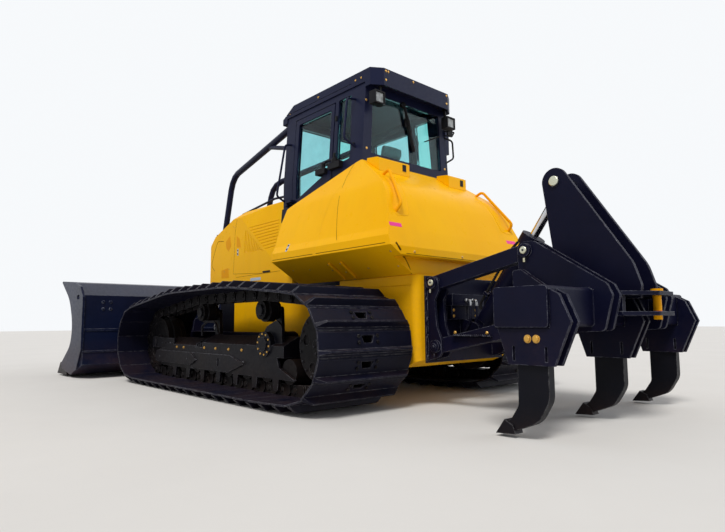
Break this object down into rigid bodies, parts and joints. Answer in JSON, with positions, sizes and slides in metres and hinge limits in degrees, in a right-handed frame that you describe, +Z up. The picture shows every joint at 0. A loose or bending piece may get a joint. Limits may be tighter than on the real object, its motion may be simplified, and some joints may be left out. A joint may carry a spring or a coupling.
{
  "type": "bulldozer",
  "caption": "Wide-track crawler dozer with an enclosed cab, a full-width tilting blade on a C-frame and a parallelogram ripper with a toolbeam behind.",
  "frame": {"origin": "on the ground, below the middle of the overall box", "axes": "+X towards the blade, +Y towards the driver's left, +Z up"},
  "size_m": [7.02, 3.7, 2.975],
  "materials": {
    "body_yellow": "satin yellow paint with dust",
    "cab_dark": "satin charcoal paint",
    "attachment_dark": "satin charcoal paint, worn at the edges",
    "undercarriage_dark": "dusty dark paint",
    "track_steel": "dusty worn steel",
    "wheel_steel": "dusty worn steel",
    "worn_steel": "scratched bare steel",
    "tinted_glass": "clear with a green tint",
    "seat_cloth": "woven",
    "cab_plastic": "grained",
    "cylinder_paint": "satin charcoal paint",
    "rod_chrome": "polished",
    "lamp_black": "matte black",
    "exhaust_dark": "heat resistant black paint",
    "engine_iron": "painted casting"
  },
  "bodies": {
    "chassis": {"cab_fittings": "cab_dark", "cab_floor": "cab_dark", "cab_frame": "cab_dark", "cab_glass": "tinted_glass", "cab_roof": "cab_dark", "consoles": "cab_plastic", "cross_shafts": "undercarriage_dark", "engine_block": "engine_iron", "exhaust_stack": "exhaust_dark", "fender_left": "body_yellow", "fender_right": "body_yellow", "fuel_tank": "body_yellow", "grille": "attachment_dark", "hood": "body_yellow", "idlers": "wheel_steel", "main_frame": "body_yellow", "rear_case": "body_yellow", "ripper_mount": "attachment_dark", "seat": "seat_cloth", "seat_base": "cab_plastic", "sprockets": "wheel_steel", "sweep_guard": "cab_dark", "tank_fittings": "body_yellow", "tank_handrails": "body_yellow", "track_frame_left": "undercarriage_dark", "track_frame_right": "undercarriage_dark", "track_left": "track_steel", "track_right": "track_steel", "track_rollers": "wheel_steel", "work_lamps": "lamp_black"},
    "c_frame": {"c_frame": "attachment_dark"},
    "blade": {"blade": "attachment_dark", "cutting_edge": "worn_steel"},
    "lift_barrel_left": {"lift_barrel_left": "cylinder_paint"},
    "lift_barrel_right": {"lift_barrel_right": "cylinder_paint"},
    "lift_rod_left": {"lift_rod_left": "rod_chrome"},
    "lift_rod_right": {"lift_rod_right": "rod_chrome"},
    "tilt_barrel": {"tilt_barrel": "cylinder_paint"},
    "tilt_rod": {"tilt_rod": "rod_chrome"},
    "lower_link": {"lower_link": "attachment_dark"},
    "upper_links": {"upper_links": "attachment_dark"},
    "ripper_beam": {"ripper_beam": "attachment_dark", "hitch_pin": "body_yellow", "shanks": "worn_steel", "shank_tips": "worn_steel"},
    "ripper_barrel": {"ripper_barrel": "cylinder_paint"},
    "ripper_rod": {"ripper_rod": "rod_chrome"},
    "door_left": {"door_left": "cab_dark", "door_glass_left": "tinted_glass"},
    "door_right": {"door_right": "cab_dark", "door_glass_right": "tinted_glass"}
  },
  "joints": [
    {"name": "blade_lift", "type": "hinge", "parent": "chassis", "child": "c_frame", "pos_m": [0.09, 0, 0.47], "axis": [0, -1, 0], "range_deg": [-7.5, 14]},
    {"name": "blade_tilt", "type": "hinge", "parent": "c_frame", "child": "blade", "pos_m": [2.27, 0, 0.47], "axis": [1, 0, 0], "range_deg": [-6, 6]},
    {"name": "lift_trunnion_left", "type": "hinge", "parent": "chassis", "child": "lift_barrel_left", "pos_m": [2, 0.3, 1.27], "axis": [0, 1, 0], "range_deg": [-1.57, 1.3]},
    {"name": "lift_rod_slide_left", "type": "slide", "parent": "lift_barrel_left", "child": "lift_rod_left", "axis": [0.0686, 0, -0.9976], "range_m": [-0.48817, 0.26616]},
    {"name": "lift_trunnion_right", "type": "hinge", "parent": "chassis", "child": "lift_barrel_right", "pos_m": [2, -0.3, 1.27], "axis": [0, 1, 0], "range_deg": [-1.57, 1.3]},
    {"name": "lift_rod_slide_right", "type": "slide", "parent": "lift_barrel_right", "child": "lift_rod_right", "axis": [0.0686, 0, -0.9976], "range_m": [-0.48817, 0.26616]},
    {"name": "tilt_barrel_pivot", "type": "hinge", "parent": "c_frame", "child": "tilt_barrel", "pos_m": [2.36, 0.43, 0.7], "axis": [1, 0, 0], "range_deg": [-4.42, 4.42]},
    {"name": "tilt_rod_slide", "type": "slide", "parent": "tilt_barrel", "child": "tilt_rod", "axis": [0, -0.9461, 0.324], "range_m": [-0.04236, 0.04236]},
    {"name": "ripper_lift", "type": "hinge", "parent": "chassis", "child": "lower_link", "pos_m": [-1.985, 0, 0.483], "axis": [0, 1, 0], "range_deg": [-30, 28]},
    {"name": "ripper_upper_pivot", "type": "hinge", "parent": "chassis", "child": "upper_links", "pos_m": [-1.965, 0, 0.981], "axis": [0, 1, 0], "range_deg": [-31, 29]},
    {"name": "ripper_beam_pivot", "type": "hinge", "parent": "lower_link", "child": "ripper_beam", "pos_m": [-2.82, 0, 0.657], "axis": [0, 1, 0], "range_deg": [-29, 31]},
    {"name": "ripper_barrel_pivot", "type": "hinge", "parent": "chassis", "child": "ripper_barrel", "pos_m": [-2.05, 0, 0.6], "axis": [0, 1, 0], "range_deg": [-15.04, 14.1]},
    {"name": "ripper_rod_slide", "type": "slide", "parent": "ripper_barrel", "child": "ripper_rod", "axis": [-0.5877, 0, 0.8091], "range_m": [-0.30996, 0.28996]},
    {"name": "door_hinge_left", "type": "hinge", "parent": "chassis", "child": "door_left", "pos_m": [-0.148, 0.65, 1.7], "axis": [0, 0, -1], "range_deg": [0, 85]},
    {"name": "door_hinge_right", "type": "hinge", "parent": "chassis", "child": "door_right", "pos_m": [-0.148, -0.65, 1.7], "axis": [0, 0, 1], "range_deg": [0, 85]}
  ],
  "couplings": [
    {"joint": "lift_trunnion_left", "follows": "blade_lift", "ratio": -0.0405},
    {"joint": "lift_rod_slide_left", "follows": "blade_lift", "m_per_rad": -1.9569},
    {"joint": "lift_trunnion_right", "follows": "blade_lift", "ratio": -0.0405},
    {"joint": "lift_rod_slide_right", "follows": "blade_lift", "m_per_rad": -1.9569},
    {"joint": "tilt_barrel_pivot", "follows": "blade_tilt", "ratio": 0.56925},
    {"joint": "tilt_rod_slide", "follows": "blade_tilt", "m_per_rad": 0.35674},
    {"joint": "ripper_upper_pivot", "follows": "ripper_lift", "ratio": 1},
    {"joint": "ripper_beam_pivot", "follows": "ripper_lift", "ratio": -1},
    {"joint": "ripper_barrel_pivot", "follows": "ripper_lift", "ratio": 0.468},
    {"joint": "ripper_rod_slide", "follows": "ripper_lift", "m_per_rad": 0.57288}
  ]
}
